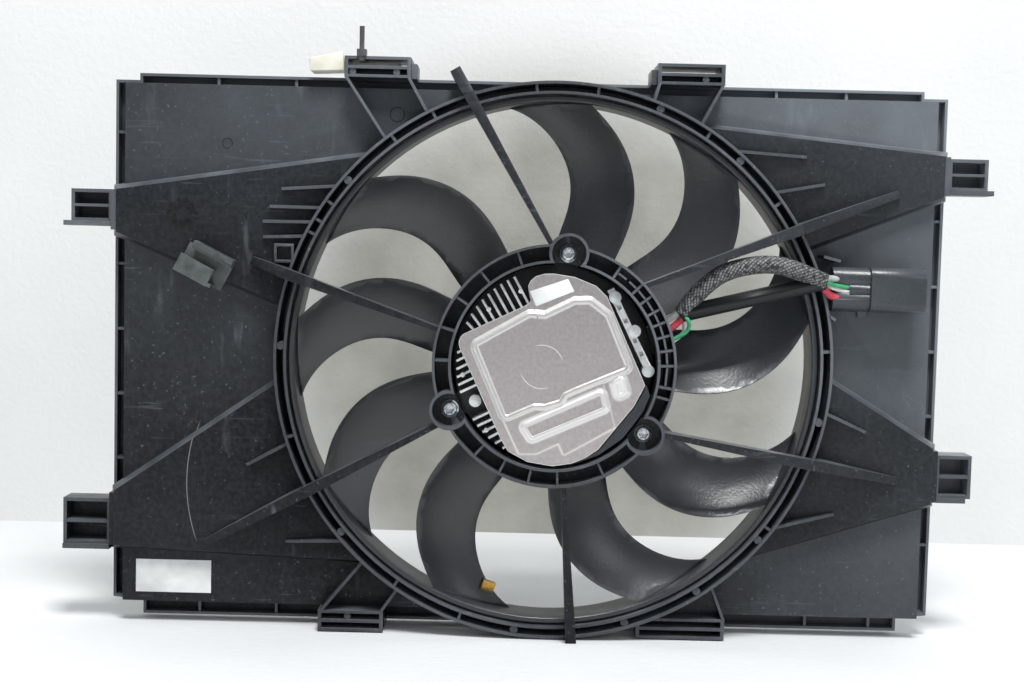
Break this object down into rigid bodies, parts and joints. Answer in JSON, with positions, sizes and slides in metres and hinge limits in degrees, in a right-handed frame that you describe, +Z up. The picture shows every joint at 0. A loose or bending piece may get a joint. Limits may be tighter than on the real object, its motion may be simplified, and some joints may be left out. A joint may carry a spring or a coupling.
{
  "type": "radiator fan shroud",
  "caption": "Moulded plastic radiator shroud with a banded cooling fan, a brushless motor on struts, and its sleeved lead and connector.",
  "frame": {"origin": "on the fan's axis, in the plane where the shroud seats on the radiator", "axes": "+Y from the engine side through the fan to the radiator, along the fan's axis; +X to the right and +Z up, as seen from the engine side"},
  "size_m": [0.657, 0.0758, 0.4343],
  "materials": {
    "shroud_plastic": "charcoal-black moulded polypropylene with a soft sheen",
    "fan_plastic": "charcoal-black moulded nylon, satin",
    "steel": "plain drawn and ground steel",
    "magnet": "dark grey sintered ferrite",
    "lamination": "stacked steel laminations",
    "copper": "enamelled copper wire",
    "brass": "bare pressed brass",
    "zinc": "bright zinc plate",
    "cast_aluminium": "as-cast aluminium, fine grain",
    "lid_aluminium": "pressed aluminium sheet with a faint warm cast, lightly scratched",
    "black_rubber": "matte black rubber",
    "seal_rubber": "soft red-brown silicone",
    "black_plastic": "black moulded plastic with a soft sheen",
    "board": "green lacquered board",
    "red_insulation": "satin red insulation",
    "grey_insulation": "satin light grey insulation",
    "green_insulation": "satin green insulation",
    "white_insulation": "satin white insulation",
    "braid": "dark grey braided sleeve with lighter flecks",
    "grey_plastic": "grey, slightly clear nylon",
    "milky_nylon": "milky natural nylon",
    "label_white": "blank white paper label"
  },
  "bodies": {
    "shroud": {"shroud_panel": "shroud_plastic", "shroud_ring": "shroud_plastic", "motor_carrier": "shroud_plastic", "motor_struts": "shroud_plastic", "shroud_ribs": "shroud_plastic", "clip_brackets": "shroud_plastic", "stator_core": "lamination", "stator_coils": "copper", "motor_housing": "cast_aluminium", "lid_gasket": "black_rubber", "motor_lid": "lid_aluminium", "motor_cover": "black_plastic", "control_board": "board", "board_capacitors": "black_plastic", "rear_bearing": "steel", "front_bearing": "steel", "carrier_bushes": "zinc", "motor_screws": "zinc", "power_lead_red": "red_insulation", "power_lead_grey": "grey_insulation", "signal_lead_green": "green_insulation", "signal_lead_white": "white_insulation", "braided_sleeve": "braid", "connector_housing": "black_plastic", "connector_terminals": "brass", "connector_seal": "seal_rubber", "connector_clip": "black_plastic", "harness_clip": "grey_plastic", "lead_tray": "shroud_plastic", "nylon_tongue": "milky_nylon", "cable_tie": "grey_plastic", "panel_label": "label_white", "motor_label": "label_white", "lead_grommet": "black_rubber"},
    "rotor": {"fan_hub": "fan_plastic", "fan_band": "fan_plastic", "fan_blades": "fan_plastic", "rotor_bell": "steel", "rotor_magnets": "magnet", "motor_shaft": "steel", "shaft_circlip": "steel", "balance_clip": "brass", "fan_screws": "zinc"}
  },
  "joints": [
    {"name": "fan_spin", "type": "hinge", "parent": "shroud", "child": "rotor", "pos_m": [0, 0, 0], "axis": [0, 1, 0], "continuous": true}
  ]
}
